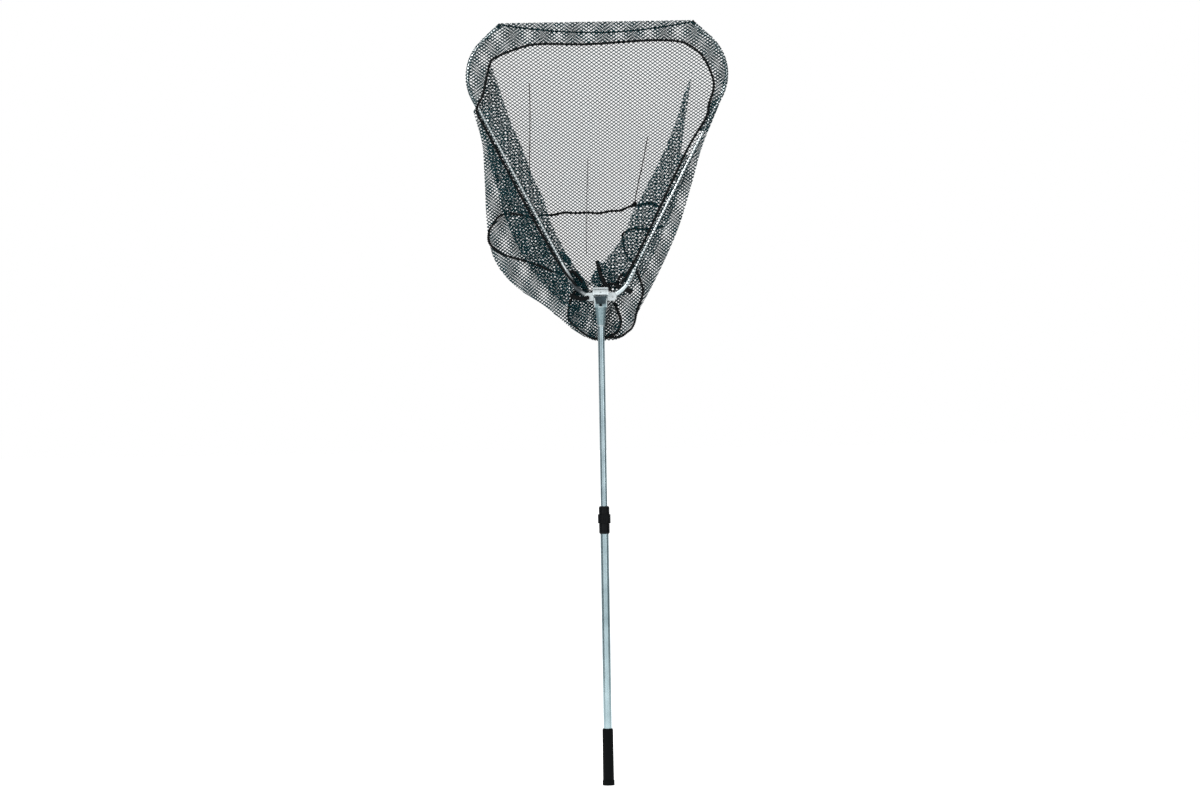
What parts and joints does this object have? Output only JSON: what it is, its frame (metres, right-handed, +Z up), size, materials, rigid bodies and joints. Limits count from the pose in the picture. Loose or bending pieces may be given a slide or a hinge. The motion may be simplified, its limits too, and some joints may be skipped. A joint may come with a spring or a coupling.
{
  "type": "landing net",
  "caption": "Folding landing net with a triangular hinged-arm head, knotted mesh bag and telescopic twist-lock handle.",
  "frame": {"origin": "centre of the butt's flat end face, on the handle's axis", "axes": "+Z up the handle towards the head, -Y out of the net's mouth towards the viewer, +X to the right seen from the front"},
  "size_m": [0.6368, 0.1145, 1.7976],
  "materials": {
    "bright_anodised": "satin bright anodised",
    "cast_blue_grey": "satin blue-grey lacquer on die-cast alloy",
    "pale_alloy": "tumbled pale alloy",
    "dark_alloy": "satin dark grey lacquer",
    "steel": "turned and zinc plated",
    "black_nylon": "moulded, fine grain",
    "white_nylon": "moulded",
    "grip_rubber": "matt moulded rubber",
    "net_fabric": "knotted black polyester mesh",
    "black_cord": "braided black cord"
  },
  "bodies": {
    "lower_handle": {"lower_tube": "bright_anodised", "butt_cap": "grip_rubber", "grip": "grip_rubber", "lock_housing": "black_nylon", "collet": "white_nylon"},
    "twist_collar": {"lock_collar": "black_nylon"},
    "upper_handle": {"upper_tube": "bright_anodised", "slide_bush": "white_nylon", "tube_rivet": "steel", "yoke_neck": "cast_blue_grey", "hinge_knuckle": "pale_alloy", "knuckle_screw": "steel", "hinge_pin": "steel", "button_spring": "steel"},
    "button": {"lock_button": "black_nylon"},
    "head": {"head_block": "pale_alloy", "arm_pivot_pins": "steel", "net_bag": "net_fabric", "top_hem": "net_fabric", "front_cord": "black_cord", "hem_seam": "black_cord", "waist_seam": "black_cord", "bottom_seam": "black_cord"},
    "left_arm": {"left_arm_socket": "dark_alloy", "left_arm_rod": "bright_anodised", "left_tip_cap": "black_nylon", "left_hem_sleeve": "net_fabric"},
    "right_arm": {"right_arm_socket": "pale_alloy", "right_arm_rod": "bright_anodised", "right_tip_cap": "black_nylon", "right_hem_sleeve": "net_fabric"}
  },
  "joints": [
    {"name": "tube_slide", "type": "slide", "parent": "lower_handle", "child": "upper_handle", "axis": [0, 0, 1], "range_m": [-0.415, 0]},
    {"name": "collar_twist", "type": "hinge", "parent": "lower_handle", "child": "twist_collar", "pos_m": [0, 0, 0.637], "axis": [0, 0, 1], "range_deg": [0, 90]},
    {"name": "button_press", "type": "slide", "parent": "upper_handle", "child": "button", "axis": [0, 0, -1], "range_m": [0, 0.005], "stiffness_N_per_m": 300, "springref_m": -0.004, "deforming": ["button_spring"]},
    {"name": "head_fold", "type": "hinge", "parent": "upper_handle", "child": "head", "pos_m": [0, -0.0115, 1.16], "axis": [1, 0, 0], "range_deg": [0, 180]},
    {"name": "left_arm_close", "type": "hinge", "parent": "head", "child": "left_arm", "pos_m": [-0.028, 0, 1.15], "axis": [0, 1, 0], "range_deg": [0, 15], "deforming": ["net_bag", "top_hem", "front_cord", "hem_seam", "waist_seam", "bottom_seam"]},
    {"name": "right_arm_close", "type": "hinge", "parent": "head", "child": "right_arm", "pos_m": [0.028, 0, 1.15], "axis": [0, -1, 0], "range_deg": [0, 15]}
  ],
  "couplings": [
    {"joint": "right_arm_close", "follows": "left_arm_close", "ratio": 1}
  ]
}
